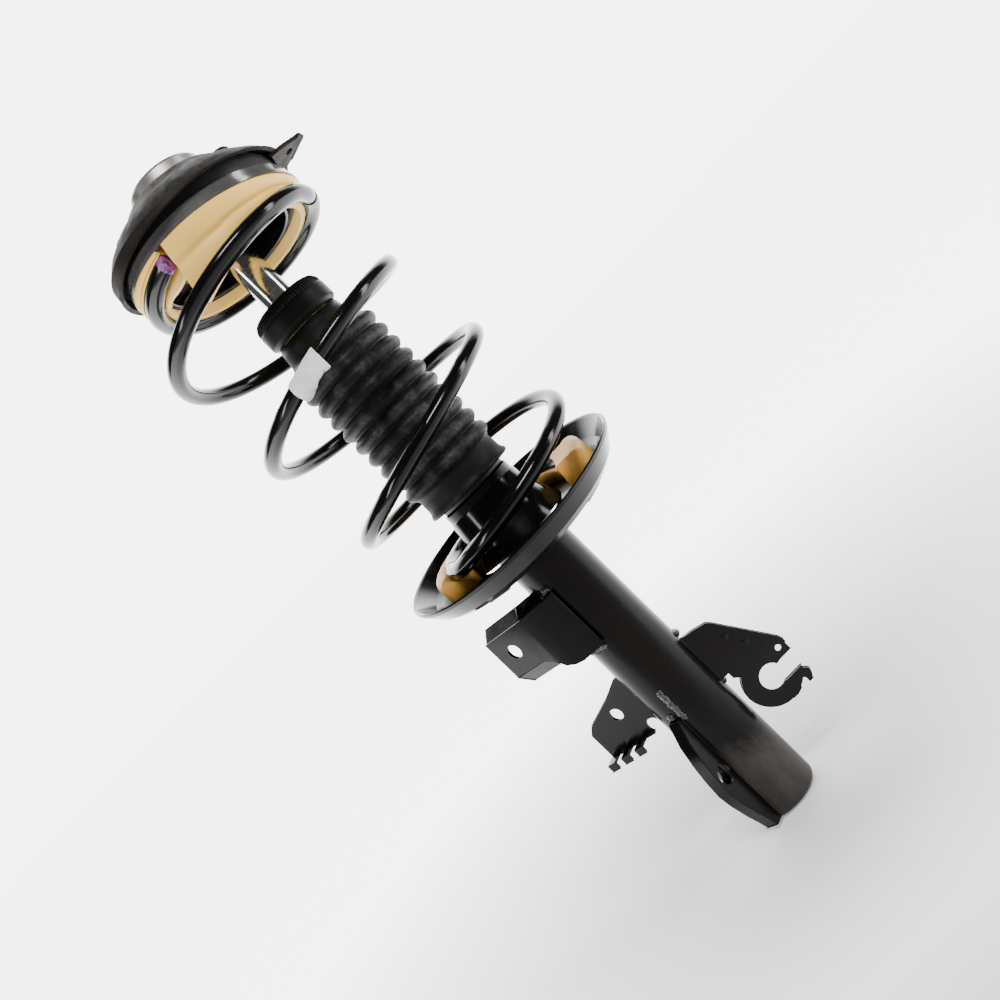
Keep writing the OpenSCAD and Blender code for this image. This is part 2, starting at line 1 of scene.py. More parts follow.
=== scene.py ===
"""Looks of the strut: swept spring, rubber parts, pressed brackets, materials, light and camera."""

import json
import math

import bpy
import numpy as np
from mathutils import Matrix, Vector, noise

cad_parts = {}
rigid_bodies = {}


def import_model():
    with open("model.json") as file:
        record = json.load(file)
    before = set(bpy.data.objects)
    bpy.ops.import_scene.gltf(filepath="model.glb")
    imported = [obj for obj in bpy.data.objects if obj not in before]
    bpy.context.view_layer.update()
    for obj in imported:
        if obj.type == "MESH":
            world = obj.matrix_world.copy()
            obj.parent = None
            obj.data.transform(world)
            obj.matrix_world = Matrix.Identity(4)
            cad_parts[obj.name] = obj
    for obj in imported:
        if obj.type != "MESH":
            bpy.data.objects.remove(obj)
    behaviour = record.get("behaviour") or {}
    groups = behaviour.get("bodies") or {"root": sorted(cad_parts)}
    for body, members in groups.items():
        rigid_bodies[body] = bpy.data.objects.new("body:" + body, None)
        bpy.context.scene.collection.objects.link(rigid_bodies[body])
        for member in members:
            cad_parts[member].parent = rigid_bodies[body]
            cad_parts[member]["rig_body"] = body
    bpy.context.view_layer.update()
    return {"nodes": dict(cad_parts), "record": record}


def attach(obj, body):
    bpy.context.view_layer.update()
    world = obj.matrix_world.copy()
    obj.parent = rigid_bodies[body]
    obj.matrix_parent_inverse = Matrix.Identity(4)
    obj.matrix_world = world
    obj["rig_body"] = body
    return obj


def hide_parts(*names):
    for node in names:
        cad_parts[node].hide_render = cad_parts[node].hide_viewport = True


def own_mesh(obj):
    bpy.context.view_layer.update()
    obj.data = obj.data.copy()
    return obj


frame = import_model()
MM = 0.001

# ------------------------------------------------------------------ dimensions, in millimetres

TUBE_R = 25.0
ROD_R = 11.0
PIVOT_Z = 560.0
LEAN_BACK = 8.5
LEAN_RIGHT = 5.2
SEAT_X = 3.7
SEAT_Z = 276.0
FLOOR_K = -15.2
WIRE_R = 5.8
TURNS = 4.65
END_ANGLE = 10.0
ACTIVE_R = 75.5
LOWER_END_R = 52.0
UPPER_END_R = 61.0
LOWER_COIL_Z = 269.0
UPPER_COIL_Z = 523.0
END_PITCH = 15.0
COIL_BOW = 8.0
COIL_DROOP = 14.0
LOWER_FLAT = 0.55
UPPER_FLAT = TURNS - 0.75
LOWER_SLOPE = np.array([0.02, 0.14])
UPPER_SLOPE = np.array([-0.03, -0.17])
MOUNT_UP = math.cos(math.radians(LEAN_BACK)) * math.cos(math.radians(LEAN_RIGHT))
SEAT_SLOPE = np.array([-0.0910, -0.1501])
PAN_CLEAR = 0.2
GROOVE_R = WIRE_R + 0.3
LOWER_CENTRE = np.array([5.0, 0.0])
UPPER_CENTRE = -30 * np.sin(np.radians([LEAN_RIGHT, LEAN_BACK]))
PAN_LOW = -30.0
WEB_LOW = -22.2
BOOT_Z = 306.0
BOOT_CAP_Z = 456.0


def mount_axis():
    """Matrix from the mount's own millimetres to the row frame in millimetres."""
    turn = (Matrix.Rotation(math.radians(LEAN_RIGHT), 4, "Y")
            @ Matrix.Rotation(math.radians(-LEAN_BACK), 4, "X"))
    return Matrix.Translation((0, 0, PIVOT_Z)) @ turn


# ------------------------------------------------------------------ mesh helpers

def mesh_object(name, points, faces):
    """A mesh object from points in millimetres."""
    mesh = bpy.data.meshes.new(name)
    mesh.from_pydata([tuple(float(c) * MM for c in p) for p in points], [], faces)
    mesh.validate()
    mesh.shade_smooth()
    obj = bpy.data.objects.new(name, mesh)
    bpy.context.scene.collection.objects.link(obj)
    return obj


def swept(name, rings):
    """A closed solid through rings of points with the same number of corners."""
    corners = len(rings[0])
    points = [p for ring in rings for p in ring]
    faces = []
    for j in range(len(rings) - 1):
        for i in range(corners):
            k = (i + 1) % corners
            faces.append((j * corners + i, j * corners + k, (j + 1) * corners + k, (j + 1) * corners + i))
    last = (len(rings) - 1) * corners
    faces.append(tuple(reversed(range(corners))))
    faces.append(tuple(last + i for i in range(corners)))
    return mesh_object(name, points, faces)


def lathe(name, outline, segments=128, matrix=None, wobble=None):
    """A body turned about Z from a closed outline of (radius, height) points."""
    matrix = matrix or Matrix.Identity(4)
    rings = []
    for j in range(segments):
        a = 2 * math.pi * j / segments
        ring = []
        for r, z in outline:
            if wobble:
                r, z = wobble(r, z, a)
            ring.append(matrix @ Vector((r * math.cos(a), r * math.sin(a), z)))
        rings.append(ring)
    corners = len(outline)
    points = [p for ring in rings for p in ring]
    faces = []
    for j in range(segments):
        n = (j + 1) % segments
        for i in range(corners):
            k = (i + 1) % corners
            faces.append((j * corners + i, n * corners + i, n * corners + k, j * corners + k))
    return mesh_object(name, points, faces)


def rounded(points, radius):
    """The closed outline with each corner replaced by a small arc."""
    steps = 4
    pts = [Vector(p) for p in points]
    out = []
    for i, p in enumerate(pts):
        a = pts[i - 1]
        b = pts[(i + 1) % len(pts)]
        reach = min(radius, (a - p).length * 0.45, (b - p).length * 0.45)
        start = p + (a - p).normalized() * reach
        end = p + (b - p).normalized() * reach
        for s in range(steps + 1):
            t = s / steps
            out.append(tuple(start.lerp(p, t).lerp(p.lerp(end, t), t)))
    return out


def fix_normals(obj):
    """Turns every face outwards."""
    bpy.context.view_layer.objects.active = obj
    obj.select_set(True)
    bpy.ops.object.mode_set(mode="EDIT")
    bpy.ops.mesh.select_all(action="SELECT")
    bpy.ops.mesh.normals_make_consistent(inside=False)
    bpy.ops.object.mode_set(mode="OBJECT")
    obj.select_set(False)


def apply_modifiers(obj):
    """Bakes the object's modifiers into its mesh."""
    bpy.context.view_layer.update()
    mesh = bpy.data.meshes.new_from_object(obj.evaluated_get(bpy.context.evaluated_depsgraph_get()))
    obj.modifiers.clear()
    obj.data = mesh


# ------------------------------------------------------------------ coil path

def ease(u):
    """Smooth step from 0 to 1."""
    v = min(1.0, max(0.0, u))
    return v * v * (3 - 2 * v)


def blend(a, b, u):
    """Value between a and b at the share u."""
    return a + (b - a) * u


def ramp_up(n):
    """Turns that climb steeply, between the two flat ends."""
    return max(0.0, n - LOWER_FLAT) - max(0.0, n - UPPER_FLAT)


def coil_rise(n):
    """Height of the wire's centre over its lower end after n turns."""
    climb = UPPER_COIL_Z - LOWER_COIL_Z - END_PITCH * TURNS
    return END_PITCH * n + climb * ramp_up(n) / ramp_up(TURNS)


def coil_angle(n):
    """Direction from the spring's middle after n turns."""
    return math.radians(END_ANGLE + 360 * n)


def coil_r(n):
    """Radius of the coil after n turns, smaller at both ends."""
    low = blend(LOWER_END_R, ACTIVE_R, ease((n - 0.4) / 0.6))
    return blend(low, UPPER_END_R, ease((n - TURNS + 1.25) / 1.1))


def coil_bow(n):
    """How far the coils bow out to the left."""
    return COIL_BOW * ease((n - 1.2) / 1.9) * (1 - ease((n - 3.5) / 1.1))


def coil_droop(n):
    """How far the coils droop on their left side."""
    return COIL_DROOP * ease((n - 0.7) / 0.7) * (1 - ease((n - 1.3) / 3.3))


def coil_point(n, outward, up):
    """Point at an offset from the wire's centre after n turns, in millimetres."""
    a = coil_angle(n)
    r = coil_r(n) + outward
    centre = blend(LOWER_CENTRE, UPPER_CENTRE, ease(n / TURNS * 1.1))
    slope = blend(LOWER_SLOPE, UPPER_SLOPE, n / TURNS)
    lean = slope[0] * math.cos(a) + slope[1] * math.sin(a)
    return Vector((centre[0] - coil_bow(n) + r * math.cos(a), centre[1] + r * math.sin(a),
                   LOWER_COIL_Z + coil_rise(n) + up + r * lean - coil_droop(n) * (1 - math.cos(a)) / 2))


def wire_point(n, radius, a):
    """Point on a circle round the wire's centre line, at an angle in radians."""
    return coil_point(n, radius * math.cos(a), radius * math.sin(a))


def wire_piece(name, start, stop, chamfer_start=False, chamfer_stop=False):
    """Round wire between two turn counts, with eased edges on a cut end."""
    sides = 28
    steps = max(6, int((stop - start) * 72))
    stations = [(blend(start, stop, j / steps), 1.0) for j in range(steps + 1)]
    if chamfer_start:
        stations[:1] = [(start, 0.86), (start + 0.0008, 0.955), (start + 0.002, 1.0)]
    if chamfer_stop:
        stations[-1:] = [(stop - 0.002, 1.0), (stop - 0.0008, 0.955), (stop, 0.86)]
    rings = []
    for n, scale in stations:
        rings.append([wire_point(n, WIRE_R * scale, 2 * math.pi * i / sides) for i in range(sides)])
    return swept(name, rings)


# ------------------------------------------------------------------ materials

class Maker:
    """Small helper that adds and links shader nodes."""

    def __init__(self, name):
        self.mat = bpy.data.materials.new(name)
        self.mat.use_nodes = True
        self.tree = self.mat.node_tree
        self.shader = self.tree.nodes["Principled BSDF"]
        self.coords = self.add("ShaderNodeTexCoord").outputs["Object"]

    def add(self, kind, **inputs):
        """A new node with plain values on some of its inputs."""
        node = self.tree.nodes.new(kind)
        for key, value in inputs.items():
            node.inputs[key.replace("_", " ")].default_value = value
        return node

    def link(self, a, b):
        self.tree.links.new(a, b)

    def noise(self, scale, detail=4.0, rough=0.55, stretch=None):
        """A noise pattern, with an optional stretch along the axes."""
        node = self.add("ShaderNodeTexNoise", Scale=scale, Detail=detail, Roughness=rough)
        source = self.coords
        if stretch:
            mapping = self.add("ShaderNodeMapping")
            mapping.inputs["Scale"].default_value = stretch
            self.link(source, mapping.inputs["Vector"])
            source = mapping.outputs["Vector"]
        self.link(source, node.inputs["Vector"])
        return node.outputs["Fac"]

    def ramp(self, source, stops):
        """A colour ramp of (place, colour) stops over a factor."""
        node = self.add("ShaderNodeValToRGB")
        elements = node.color_ramp.elements
        while len(elements) < len(stops):
            elements.new(0.5)
        for element, (place, colour) in zip(elements, stops):
            element.position = place
            element.color = (*colour, 1.0)
        self.link(source, node.inputs["Fac"])
        return node.outputs["Color"]

    def spread(self, source, low, high, from_low=0.3, from_high=0.7):
        """Maps a factor onto a range of values."""
        node = self.add("ShaderNodeMapRange")
        for key, value in zip(("From Min", "From Max", "To Min", "To Max"), (from_low, from_high, low, high)):
            node.inputs[key].default_value = value
        self.link(source, node.inputs["Value"])
        return node.outputs["Result"]

    def mix(self, factor, a, b):
        """A mix of two colours, each a socket or a plain colour."""
        node = self.add("ShaderNodeMix")
        node.data_type = "RGBA"
        self.link(factor, node.inputs[0])
        for value, socket in ((a, node.inputs[6]), (b, node.inputs[7])):
            if isinstance(value, tuple):
                socket.default_value = (*value, 1.0)
            else:
                self.link(value, socket)
        return node.outputs[2]

    def height(self):
        """Height in the row frame, in metres."""
        node = self.add("ShaderNodeSeparateXYZ")
        self.link(self.coords, node.inputs[0])
        return node.outputs["Z"]

    def math(self, operation, a, b):
        """One sum on two values, each a socket or a number."""
        node = self.add("ShaderNodeMath")
        node.operation = operation
        for value, socket in ((a, node.inputs[0]), (b, node.inputs[1])):
            if isinstance(value, (int, float)):
                socket.default_value = value
            else:
                self.link(value, socket)
        return node.outputs[0]

    def bump(self, source, depth, strength=1.0, under=None):
        """A bump of a depth in metres, on top of another one."""
        node = self.add("ShaderNodeBump", Strength=strength, Distance=depth)
        self.link(source, node.inputs["Height"])
        if under:
            self.link(under, node.inputs["Normal"])
        return node.outputs["Normal"]

    def finish(self, colour, roughness, normal=None, metallic=0.0, coat=0.0, coat_roughness=0.1,
               specular=0.5):
        """Feeds the shader and returns the material."""
        for value, key in ((colour, "Base Color"), (roughness, "Roughness"), (normal, "Normal")):
            if isinstance(value, tuple):
                self.shader.inputs[key].default_value = (*value, 1.0)
            elif isinstance(value, (int, float)):
                self.shader.inputs[key].default_value = value
            elif value is not None:
                self.link(value, self.shader.inputs[key])
        self.shader.inputs["Metallic"].default_value = metallic
        self.shader.inputs["Coat Weight"].default_value = coat
        self.shader.inputs["Coat Roughness"].default_value = coat_roughness
        self.shader.inputs["Specular IOR Level"].default_value = specular
        return self.mat


def tone(colour, factor):
    """The colour made lighter or darker by a factor."""
    return tuple(min(1.0, c * factor) for c in colour)


def painted(name, colour, rough, peel=0.00003, coat=0.3, vary=0.25, stain_scale=18, specular=0.5):
    """Sprayed black paint: cloudy tone, fine orange peel and a few dust specks."""
    m = Maker(name)
    cloud = m.noise(stain_scale, 6)
    base = m.ramp(cloud, [(0.3, tone(colour, 1 - vary)), (0.7, tone(colour, 1 + vary))])
    specks = m.noise(900, 2)
    dusty = m.mix(m.spread(specks, 0, 0.5, 0.68, 0.78), base, tone(colour, 3.2))
    roughness = m.spread(m.noise(stain_scale * 3, 5), rough - 0.06, rough + 0.08)
    fine = m.bump(m.noise(650, 3), peel)
    wide = m.bump(m.noise(120, 2), peel * 2, under=fine)
    return m.finish(dusty, roughness, wide, coat=coat, coat_roughness=0.12, specular=specular)


def tube_paint():
    """Black paint that thins to a grey phosphate finish over the clamped lower end."""
    m = Maker("tube_paint")
    dark = (0.0040, 0.0030, 0.0024)
    grey = (0.040, 0.036, 0.033)
    cloud = m.noise(14, 7, 0.6)
    black = m.ramp(cloud, [(0.3, tone(dark, 0.7)), (0.7, tone(dark, 1.35))])
    bare = m.ramp(m.noise(60, 6, 0.6, (1, 1, 0.35)), [(0.3, tone(grey, 0.55)), (0.72, tone(grey, 1.5))])
    ragged = m.math("MULTIPLY", m.noise(34, 7, 0.7, (1, 1, 0.3)), 0.075)
    edge = m.math("ADD", m.height(), ragged)
    colour = m.mix(m.spread(edge, 0, 1, 0.082, 0.104), bare, black)
    roughness = m.spread(edge, 0.44, 0.22, 0.08, 0.1)
    fine = m.bump(m.noise(700, 3), 0.00003)
    wide = m.bump(m.noise(90, 3), 0.00008, under=fine)
    return m.finish(colour, roughness, wide, specular=0.10)


def rubber(name, colour, rough=0.6, grain=0.00006, scale=420, vary=0.12, bloom=0.2, specular=0.35):
    """Moulded rubber: soft mottling, fine grain and a little pale bloom."""
    m = Maker(name)
    base = m.ramp(m.noise(22, 6), [(0.3, tone(colour, 1 - vary)), (0.7, tone(colour, 1 + vary))])
    pale = m.mix(m.spread(m.noise(75, 8, 0.7), 0, bloom, 0.5, 0.8), base, tone(colour, 1.8))
    normal = m.bump(m.noise(scale, 4), grain)
    return m.finish(pale, m.spread(m.noise(60, 4), rough - 0.07, rough + 0.07), normal, specular=specular)


def plated(name, colour, rough, vary=0.12, scratch=(1, 1, 30)):
    """Plated or machined steel with fine marks along one direction."""
    m = Maker(name)
    base = m.ramp(m.noise(35, 6), [(0.3, tone(colour, 1 - vary)), (0.7, tone(colour, 1 + vary))])
    marks = m.noise(120, 5, 0.6, scratch)
    roughness = m.spread(marks, rough - 0.07, rough + 0.12)
    return m.finish(base, roughness, m.bump(marks, 0.00002), metallic=1.0)


def boot_rubber():
    """Dark moulded rubber with dry, dusty ridges and faint streaks along the boot."""
    m = Maker("boot_rubber")
    split = m.add("ShaderNodeSeparateXYZ")
    m.link(m.coords, split.inputs[0])
    across = m.math("MULTIPLY", split.outputs["X"], split.outputs["X"])
    along = m.math("MULTIPLY", split.outputs["Y"], split.outputs["Y"])
    radius = m.math("SQRT", m.math("ADD", across, along), 0.0)
    ridge = m.spread(radius, 0, 1, 0.0325, 0.0372)
    patch = m.spread(m.noise(42, 7, 0.68, (1, 1, 0.5)), 0, 1, 0.47, 0.72)
    grit = m.spread(m.noise(380, 6, 0.75), 0.2, 1.0, 0.35, 0.7)
    dust = m.math("MULTIPLY", m.math("MULTIPLY", ridge, patch), grit)
    base = m.ramp(m.noise(22, 6), [(0.3, (0.0030, 0.0030, 0.0033)), (0.7, (0.0065, 0.0065, 0.007))])
    colour = m.mix(dust, base, (0.10, 0.10, 0.103))
    roughness = m.spread(m.noise(60, 4), 0.42, 0.6)
    return m.finish(colour, roughness, m.bump(m.noise(420, 4), 0.00008), specular=0.13)


def mount_paint():
    """Rough brown-black paint with thin pale runs down the mount's shoulder."""
    m = Maker("mount_paint")
    cloud = m.noise(30, 7, 0.65)
    base = m.ramp(cloud, [(0.3, (0.0065, 0.0051, 0.0039)), (0.7, (0.018, 0.0147, 0.0118))])
    runs = m.spread(m.noise(260, 3, 0.6, (1, 1, 0.12)), 0, 0.5, 0.60, 0.80)
    where = m.spread(m.noise(28, 2), 0, 1, 0.5, 0.62)
    colour = m.mix(m.math("MULTIPLY", runs, where), base, (0.09, 0.083, 0.072))
    fine = m.bump(m.noise(480, 4), 0.0001)
    return m.finish(colour, m.spread(m.noise(90, 5), 0.5, 0.72), fine, specular=0.14)


def weld_metal():
    """Painted-over weld: dark, lumpy, with bright spatter."""
    m = Maker("weld_metal")
    base = m.ramp(m.noise(320, 5), [(0.35, (0.008, 0.007, 0.006)), (0.62, (0.03, 0.028, 0.026)),
                                    (0.8, (0.25, 0.24, 0.23))])
    return m.finish(base, m.spread(m.noise(260, 4), 0.2, 0.5), m.bump(m.noise(520, 4), 0.00035), coat=0.4)


def label_paper():
    """Plain white paper with soft creases and a slightly grubby, uneven tone."""
    m = Maker("label_paper")
    base = m.ramp(m.noise(90, 6, 0.65), [(0.3, (0.62, 0.62, 0.61)), (0.55, (0.83, 0.83, 0.82))])
    return m.finish(base, 0.55, m.bump(m.noise(150, 3), 0.0003), specular=0.3)


def paint_mark():
    """Purple inspection paint daubed over the black wire end."""
    m = Maker("paint_mark")
    daub = m.noise(230, 4, 0.6)
    purple = m.ramp(m.noise(420, 3), [(0.3, (0.11, 0.012, 0.12)), (0.7, (0.38, 0.09, 0.42))])
    colour = m.mix(m.spread(daub, 0, 1, 0.40, 0.47), (0.005, 0.005, 0.0055), purple)
    return m.finish(colour, 0.4, m.bump(m.noise(300, 3), 0.0002), coat=0.3)


MATERIALS = {
    "tube_paint": tube_paint(),
    "seat_paint": painted("seat_paint", (0.0030, 0.0026, 0.0024), 0.13, coat=0.08, specular=0.18),
    "bracket_paint": painted("bracket_paint", (0.0038, 0.0030, 0.0024), 0.2, coat=0.0, specular=0.13),
    "mount_paint": mount_paint(),
    "spring_paint": painted("spring_paint", (0.0026, 0.0024, 0.0025), 0.12, coat=0.12, specular=0.2),
    # upper seat: black steel given a light, strongly clouded grey tone well above the other black paints, a
    # painted reflection of its glossy band
    "upper_seat_painted_sheen": painted("upper_seat_painted_sheen", (0.060, 0.058, 0.056), 0.16, coat=0.6, vary=0.5),
    "weld_metal": weld_metal(),
    "inner_steel": plated("inner_steel", (0.55, 0.55, 0.53), 0.3),
    "bearing_steel": plated("bearing_steel", (0.62, 0.62, 0.61), 0.2),
    "zinc_steel": plated("zinc_steel", (0.42, 0.40, 0.365), 0.36),
    "rod_chrome": plated("rod_chrome", (0.70, 0.70, 0.71), 0.1, vary=0.03, scratch=(1, 1, 8)),
    "boot_rubber": boot_rubber(),
    "cap_plastic": rubber("cap_plastic", (0.0045, 0.0045, 0.005), 0.45, grain=0.00005, bloom=0.5,
                          specular=0.10),
    "bump_foam": rubber("bump_foam", (0.6, 0.47, 0.16), 0.7, grain=0.0002),
    "seal_rubber": rubber("seal_rubber", (0.006, 0.006, 0.006), 0.5),
    "ring_plastic": rubber("ring_plastic", (0.55, 0.52, 0.42), 0.5, grain=0.00002),
    "insulator_beige": rubber("insulator_beige", (0.93, 0.57, 0.12), 0.5, vary=0.05, bloom=0.06),
    "insulator_orange": rubber("insulator_orange", (0.90, 0.46, 0.085), 0.5, vary=0.1, bloom=0.08),
    "label_paper": label_paper(),
    "paint_mark": paint_mark(),
}
SLOT_MATERIAL = {m["slot"]: m["slot"] for m in frame["record"]["materials"]}
SLOT_MATERIAL["base_metal"] = "tube_paint"
NODE_SLOT = {s["node"]: s["material_slot"] for s in frame["record"]["subparts"]}
NODE_MATERIAL = {"upper_spring_seat": "upper_seat_painted_sheen", "bolt_bosses": "mount_paint"}


def dress(obj, material):
    """Gives the object one material."""
    obj.data.materials.clear()
    obj.data.materials.append(MATERIALS[material])


def dress_cad_nodes():
    """Gives every CAD node the procedural material of its slot."""
    for name, obj in frame["nodes"].items():
        dress(obj, NODE_MATERIAL.get(name, SLOT_MATERIAL[NODE_SLOT[name]]))


def place(obj, body, slot, material, *nodes):
    """Dresses a piece and ties it to its body, its slot and the nodes it stands for."""
    fix_normals(obj)
    dress(obj, material)
    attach(obj, body)
    if nodes:
        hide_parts(*nodes)
    return obj


# ------------------------------------------------------------------ spring

TOP_JOIN = TURNS - 0.70
LOW_JOIN = 0.50


def make_spring():
    """Wire in three pieces: the lower end turn, the upper end turn and the coils between them."""
    low = wire_piece("spring_lower_turn", 0.0, LOW_JOIN, chamfer_start=True)
    place(low, "damper", "spring_paint", "spring_paint", "coil_spring")
    top = wire_piece("spring_upper_turn", TOP_JOIN, TURNS, chamfer_stop=True)
    place(top, "spring_perch", "spring_paint", "spring_paint")
    top.data.materials.append(MATERIALS["paint_mark"])
    end = coil_point(TURNS, 0, 0) * MM
    daub_reach = 7.5 * MM
    for face in top.data.polygons:
        if (face.center - end).length < daub_reach:
            face.material_index = 1
    coils = wire_piece("spring_coils", LOW_JOIN, TOP_JOIN)
    place(coils, "damper", "spring_paint", "spring_paint")
    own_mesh(coils)
    label = make_label()
    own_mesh(label)


LABEL_START, LABEL_STOP = 2.670, 2.724
LABEL_LIFT = 0.35
PAPER_THICK = 0.40


def make_label():
    """Paper label folded round the wire, its two ends stuck together in a flap that hangs below."""
    stations, sides = 24, 34
    rings = []
    for j in range(stations + 1):
        n = blend(LABEL_START, LABEL_STOP, j / stations)
        crumple = noise.noise(Vector((j * 0.21, 3.1, 0.0)))
        flap = 3.5 + 1.1 * math.sin(j * 0.29) + 1.0 * crumple
        outer, inner = [], []
        for i in range(sides + 1):
            t = i / sides
            a = math.radians(-62 + 304 * t)
            fold = 0.35 * noise.noise(Vector((j * 0.32, i * 0.45, 1.7)))
            for lift, side in ((LABEL_LIFT + PAPER_THICK, outer), (LABEL_LIFT, inner)):
                side.append(wire_point(n, WIRE_R + lift + fold, a))
        hang = coil_point(n, 1.0 + 1.4 * crumple, -WIRE_R - flap)
        hang_in = coil_point(n, 0.6 + 1.4 * crumple, -WIRE_R - flap)
        rings.append(outer + [hang_in] + inner[::-1] + [hang])
    label = swept("spring_label_paper", rings)
    return place(label, "damper", "label_paper", "label_paper", "spring_label")


# ------------------------------------------------------------------ insulators

TOP_WRAP = 0.985
TOP_OUTER_R = 65.8
TOP_CORE_R = 60.0
CREASE = ((-0.14, 0.0), (-0.07, -0.9), (0.0, -2.2), (0.03, -0.9), (0.09, 0.15))


def seat_plane(n, r, k):
    """Point at one turn count on the plane at the height k of the upper seat."""
    a = coil_angle(n)
    x = UPPER_CENTRE[0] + r * math.cos(a)
    y = UPPER_CENTRE[1] + r * math.sin(a)
    return Vector((x, y, PIVOT_Z + k / MOUNT_UP + SEAT_SLOPE[0] * x + SEAT_SLOPE[1] * y))


def over_wire(n, r):
    """Point of the upper insulator's underside, which has a groove for the wire."""
    off = abs(r - coil_r(n))
    lift = math.sqrt(GROOVE_R ** 2 - off ** 2) if off < GROOVE_R else -1.0
    return coil_point(n, r - coil_r(n), lift)


def insulator_inner_r(n):
    """Inner radius of the upper insulator, which keeps a narrow lip inside the wire."""
    return min(57.0, max(50.8, coil_r(n) - 10.2))


def make_upper_insulator():
    """Beige insulator between the top coil and the upper seat, one turn long with a step at its end."""
    steps, columns = 260, 22
    rings = []
    for j in range(steps + 1):
        share = j / steps
        n = TURNS - TOP_WRAP * (1 - share)
        inner_r = insulator_inner_r(n)
        end = min(j, steps - j)
        swell = 1.0 - 0.6 * max(0.0, 1 - end / 3.0) ** 2
        ring = [over_wire(n, inner_r + 0.8 * (1 - swell))]
        ring += [over_wire(n, inner_r + (TOP_OUTER_R - inner_r) * i / columns) for i in range(1, columns)]
        low = over_wire(n, TOP_OUTER_R)
        high = seat_plane(n, TOP_OUTER_R, PAN_LOW - PAN_CLEAR)
        ring += [low + Vector((0, 0, 0.2))]
        # crease in the outer wall, with the lip standing out over it
        crease = max(0.40, 0.64 - 0.9 * share)
        a = coil_angle(n)
        out = Vector((math.cos(a), math.sin(a), 0))
        wall = [(0.12, 0.25), (0.25, 0.3)] + [(crease + step, push) for step, push in CREASE] + [(0.97, 0.3)]
        ring += [low.lerp(high, min(0.985, up)) + out * (push * swell) for up, push in wall]
        ring += [high] + [seat_plane(n, r, k - PAN_CLEAR)
                          for r, k in ((TOP_CORE_R, PAN_LOW), (TOP_CORE_R, WEB_LOW), (inner_r, WEB_LOW))]
        rings.append(ring)
    body = swept("upper_insulator_ring", rings)
    return place(body, "spring_perch", "insulator_beige", "insulator_beige", "upper_insulator")


def make_upper_insulator_shade_liner():
    """Dark rubber lining inside the upper insulator, a sheet of painted shade over its beige inner wall,
    which leaves a pale lip along the wire.
    """
    steps, lip, high_k = 200, Vector((0, 0, 7.0)), WEB_LOW - 0.4
    rings = []
    for j in range(steps + 1):
        n = TURNS - TOP_WRAP * (1 - j / steps)
        near, far = insulator_inner_r(n) - 1.4, insulator_inner_r(n) - 0.2
        rings.append([over_wire(n, near) + lip, over_wire(n, far) + lip,
                      seat_plane(n, far, high_k), seat_plane(n, near, high_k)])
    return place(swept("upper_insulator_shade_liner", rings), "spring_perch", "seal_rubber", "seal_rubber")


TAIL_WRAP = 0.14
TAIL_GAP = 0.001


def make_upper_insulator_tail():
    """The insulator's tail, which runs on below the wire's end and thins out to nothing."""
    steps, columns = 60, 12
    inner_r, outer_r = 50.8, 54.7
    rings = []
    for j in range(steps + 1):
        share = j / steps
        n = TURNS - TOP_WRAP - TAIL_GAP - TAIL_WRAP * (1 - share)
        depth = blend(3.0, 9.0, ease(share * 1.5))
        low, high = [], []
        for i in range(columns + 1):
            r = blend(inner_r, outer_r, i / columns)
            top = coil_point(n + 1, r - coil_r(n + 1), 0)
            off = abs(r - coil_r(n + 1))
            top.z -= math.sqrt(GROOVE_R ** 2 - off ** 2) if off < GROOVE_R else 0.5
            low.append(Vector((top.x, top.y, max(over_wire(n, r).z, top.z - depth))))
            high.append(top)
        rings.append(low + high[::-1])
    return place(swept("upper_insulator_tail", rings), "spring_perch", "insulator_beige", "insulator_beige")


def make_inner_collars():
    """Dark collars inside the upper insulator that centre the seat and the bearing."""
    to_world = mount_axis()
    top, collar_foot, bead_foot = WEB_LOW - PAN_CLEAR, PAN_LOW - 9.0, WEB_LOW - 6.5
    outer = rounded([(46.4, top), (46.4, collar_foot), (48.8, collar_foot), (48.8, top)], 0.9)
    inner = rounded([(33.5, top), (34.5, bead_foot), (37.0, bead_foot), (39.5, top)], 0.9)
    place(lathe("upper_seat_collar", outer, 128, to_world), "spring_perch", "seat_paint", "seat_paint")
    place(lathe("upper_seat_bead", inner, 128, to_world), "spring_perch", "seat_paint", "seat_paint")


def floor_point(n, r):
    """Point just over the lower seat's floor at one turn count."""
    a = coil_angle(n)
    x = LOWER_CENTRE[0] + r * math.cos(a)
    y = LOWER_CENTRE[1] + r * math.sin(a)
    return Vector((x, y, SEAT_Z + FLOOR_K + 0.3 + LOWER_SLOPE[0] * (x - SEAT_X) + LOWER_SLOPE[1] * y))


LOW_START, LOW_STOP = -0.096, 0.525
BLOCK_END = -0.004


